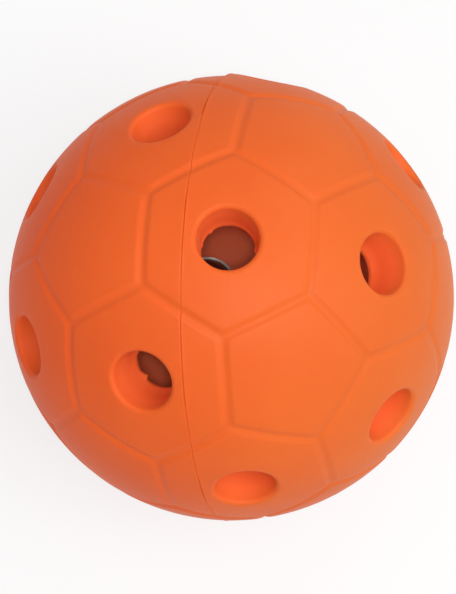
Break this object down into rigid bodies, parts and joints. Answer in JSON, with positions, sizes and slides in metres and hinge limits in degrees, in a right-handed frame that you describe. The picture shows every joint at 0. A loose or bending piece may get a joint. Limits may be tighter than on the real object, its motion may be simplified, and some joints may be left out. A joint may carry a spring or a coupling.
{
  "type": "perforated sound ball",
  "caption": "Soft hollow ball with a football panel pattern, tapered finger holes moulded into its six-sided panels, and loose metal jingle bells inside that ring as it rolls.",
  "frame": {"origin": "centre of the ball", "axes": "+Z out through the middle of the top hole, +X towards one of the three holes beside it"},
  "size_m": [0.16, 0.16, 0.158],
  "materials": {
    "vinyl": "semi-matte soft vinyl, moulded in one colour",
    "nickel": "dull nickel-plated sheet",
    "wire": "drawn wire",
    "steel": "plain steel ball"
  },
  "bodies": {
    "shell": {"ball_shell": "vinyl"},
    "bell_1": {"bell_1_dome": "nickel", "bell_1_cup": "nickel", "bell_1_loop": "wire"},
    "pellet_1": {"bell_1_pellet": "steel"},
    "bell_2": {"bell_2_dome": "nickel", "bell_2_cup": "nickel", "bell_2_loop": "wire"},
    "pellet_2": {"bell_2_pellet": "steel"},
    "bell_3": {"bell_3_dome": "nickel", "bell_3_cup": "nickel", "bell_3_loop": "wire"},
    "pellet_3": {"bell_3_pellet": "steel"},
    "bell_4": {"bell_4_dome": "nickel", "bell_4_cup": "nickel", "bell_4_loop": "wire"},
    "pellet_4": {"bell_4_pellet": "steel"},
    "bell_5": {"bell_5_dome": "nickel", "bell_5_cup": "nickel", "bell_5_loop": "wire"},
    "pellet_5": {"bell_5_pellet": "steel"},
    "bell_6": {"bell_6_dome": "nickel", "bell_6_cup": "nickel", "bell_6_loop": "wire"},
    "pellet_6": {"bell_6_pellet": "steel"}
  },
  "joints": [
    {"name": "bell_1_roll", "type": "hinge", "parent": "shell", "child": "bell_1", "pos_m": [0, 0, 0], "axis": [0, -1, 0], "range_deg": [0, 97]},
    {"name": "pellet_1_roll", "type": "hinge", "parent": "bell_1", "child": "pellet_1", "pos_m": [0.02312, 0, -0.06203], "axis": [0, -1, 0], "range_deg": [-120, 160]},
    {"name": "bell_2_hop", "type": "slide", "parent": "shell", "child": "bell_2", "axis": [0, 0, 1], "range_m": [0, 0.11]},
    {"name": "pellet_2_roll", "type": "hinge", "parent": "bell_2", "child": "pellet_2", "pos_m": [0.01181, 0.02046, -0.06184], "axis": [0.866, -0.5, 0], "range_deg": [-120, 160]},
    {"name": "bell_3_roll", "type": "hinge", "parent": "shell", "child": "bell_3", "pos_m": [0, 0, 0], "axis": [0.866, 0.5, 0], "range_deg": [0, 97]},
    {"name": "pellet_3_roll", "type": "hinge", "parent": "bell_3", "child": "pellet_3", "pos_m": [-0.01156, 0.02003, -0.06203], "axis": [0.866, 0.5, 0], "range_deg": [-120, 160]},
    {"name": "bell_4_hop", "type": "slide", "parent": "shell", "child": "bell_4", "axis": [0, 0, 1], "range_m": [0, 0.11]},
    {"name": "pellet_4_roll", "type": "hinge", "parent": "bell_4", "child": "pellet_4", "pos_m": [-0.02362, 0, -0.06184], "axis": [0, 1, 0], "range_deg": [-120, 160]},
    {"name": "bell_5_roll", "type": "hinge", "parent": "shell", "child": "bell_5", "pos_m": [0, 0, 0], "axis": [-0.866, 0.5, 0], "range_deg": [0, 97]},
    {"name": "pellet_5_roll", "type": "hinge", "parent": "bell_5", "child": "pellet_5", "pos_m": [-0.01156, -0.02003, -0.06203], "axis": [-0.866, 0.5, 0], "range_deg": [-120, 160]},
    {"name": "bell_6_hop", "type": "slide", "parent": "shell", "child": "bell_6", "axis": [0, 0, 1], "range_m": [0, 0.11]},
    {"name": "pellet_6_roll", "type": "hinge", "parent": "bell_6", "child": "pellet_6", "pos_m": [0.01181, -0.02046, -0.06184], "axis": [-0.866, -0.5, 0], "range_deg": [-120, 160]}
  ]
}
